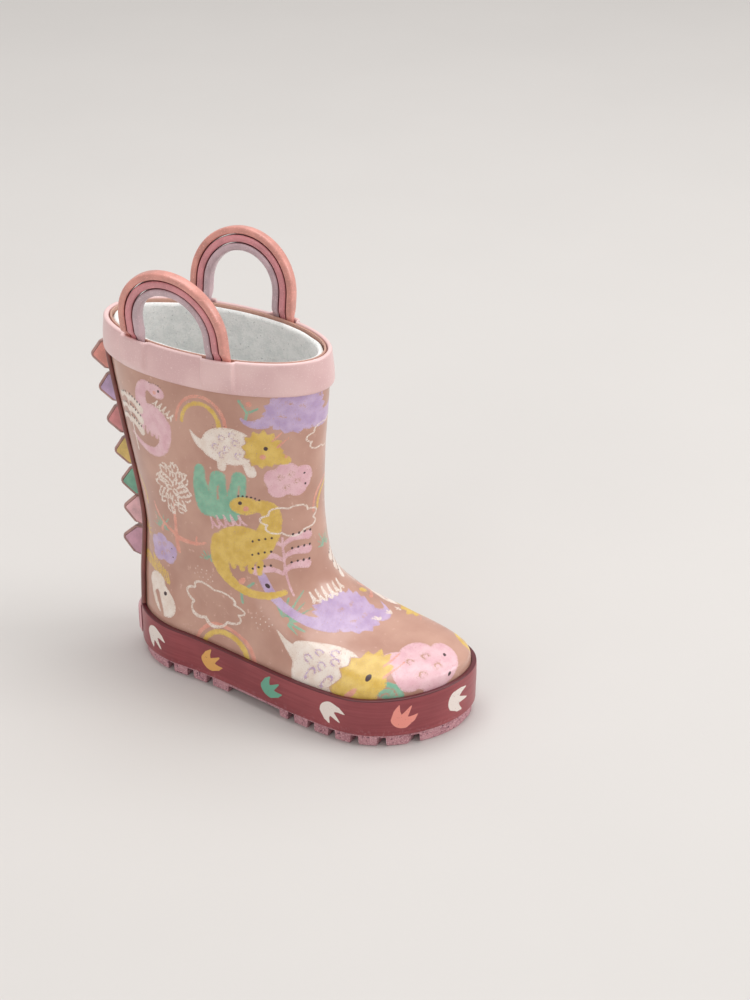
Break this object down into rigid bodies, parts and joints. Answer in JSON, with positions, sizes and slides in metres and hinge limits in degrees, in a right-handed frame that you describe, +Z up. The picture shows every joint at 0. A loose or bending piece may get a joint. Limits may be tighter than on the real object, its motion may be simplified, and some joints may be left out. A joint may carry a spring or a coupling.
{
  "type": "rubber rain boot",
  "caption": "Child's pull-on rubber rain boot for the right foot, with two pull handles at the rim, a row of fins down the back and a lugged sole",
  "frame": {"origin": "middle of the overall box, on the ground", "axes": "+Z up, toe towards -Y, fins towards +Y, outer side of the right foot towards -X"},
  "size_m": [0.0794, 0.2098, 0.2173],
  "materials": {
    "upper_rubber": "gloss, printed",
    "collar_rubber": "satin",
    "lining_knit": "brushed knit",
    "outsole_rubber": "matt, stippled",
    "filler_rubber": "matt",
    "fibre_board": "matt",
    "sock_fabric": "brushed knit on foam",
    "stiffener": "matt",
    "foxing_rubber": "satin, printed",
    "label_rubber": "satin",
    "anchor_rubber": "satin",
    "strip_rubber": "satin",
    "piping_rubber": "satin",
    "edge_rubber": "satin",
    "fin_border": "satin",
    "fin_coral": "satin",
    "fin_lilac": "satin",
    "fin_rose": "satin",
    "fin_yellow": "satin",
    "fin_green": "satin",
    "fin_pale_pink": "satin",
    "fin_mauve": "satin",
    "rib_coral": "satin",
    "rib_rose": "satin",
    "rib_lilac": "satin"
  },
  "bodies": {
    "boot": {"outsole": "outsole_rubber", "midsole_filler": "filler_rubber", "insole_board": "fibre_board", "upper_shell": "upper_rubber", "lining": "lining_knit", "insole_sock": "sock_fabric", "toe_puff": "stiffener", "heel_counter": "stiffener", "foxing_band": "foxing_rubber", "heel_label": "label_rubber", "top_band": "collar_rubber", "handle_anchor_outer_front": "anchor_rubber", "handle_anchor_outer_rear": "anchor_rubber", "handle_anchor_inner_front": "anchor_rubber", "handle_anchor_inner_rear": "anchor_rubber", "back_strip": "strip_rubber", "back_piping_inner": "piping_rubber", "back_piping_outer": "edge_rubber", "fin_1_core": "fin_border", "fin_1_face_outer": "fin_coral", "fin_1_face_inner": "fin_coral", "fin_2_core": "fin_border", "fin_2_face_outer": "fin_lilac", "fin_2_face_inner": "fin_lilac", "fin_3_core": "fin_border", "fin_3_face_outer": "fin_rose", "fin_3_face_inner": "fin_rose", "fin_4_core": "fin_border", "fin_4_face_outer": "fin_yellow", "fin_4_face_inner": "fin_yellow", "fin_5_core": "fin_border", "fin_5_face_outer": "fin_green", "fin_5_face_inner": "fin_green", "fin_6_core": "fin_border", "fin_6_face_outer": "fin_pale_pink", "fin_6_face_inner": "fin_pale_pink", "fin_7_core": "fin_border", "fin_7_face_outer": "fin_mauve", "fin_7_face_inner": "fin_mauve"},
    "outer_handle": {"handle_outer_outer_rib": "rib_coral", "handle_outer_middle_rib": "rib_rose", "handle_outer_inner_rib": "rib_lilac"},
    "inner_handle": {"handle_inner_outer_rib": "rib_coral", "handle_inner_middle_rib": "rib_rose", "handle_inner_inner_rib": "rib_lilac"}
  },
  "joints": [
    {"name": "outer_handle_bend", "type": "hinge", "parent": "boot", "child": "outer_handle", "pos_m": [-0.02443, 0.0351, 0.1803], "axis": [0, 1, 0], "range_deg": [-35, 40], "stiffness_Nm_per_rad": 0.3},
    {"name": "inner_handle_bend", "type": "hinge", "parent": "boot", "child": "inner_handle", "pos_m": [0.03217, 0.0351, 0.1803], "axis": [0, -1, 0], "range_deg": [-35, 40], "stiffness_Nm_per_rad": 0.3}
  ]
}
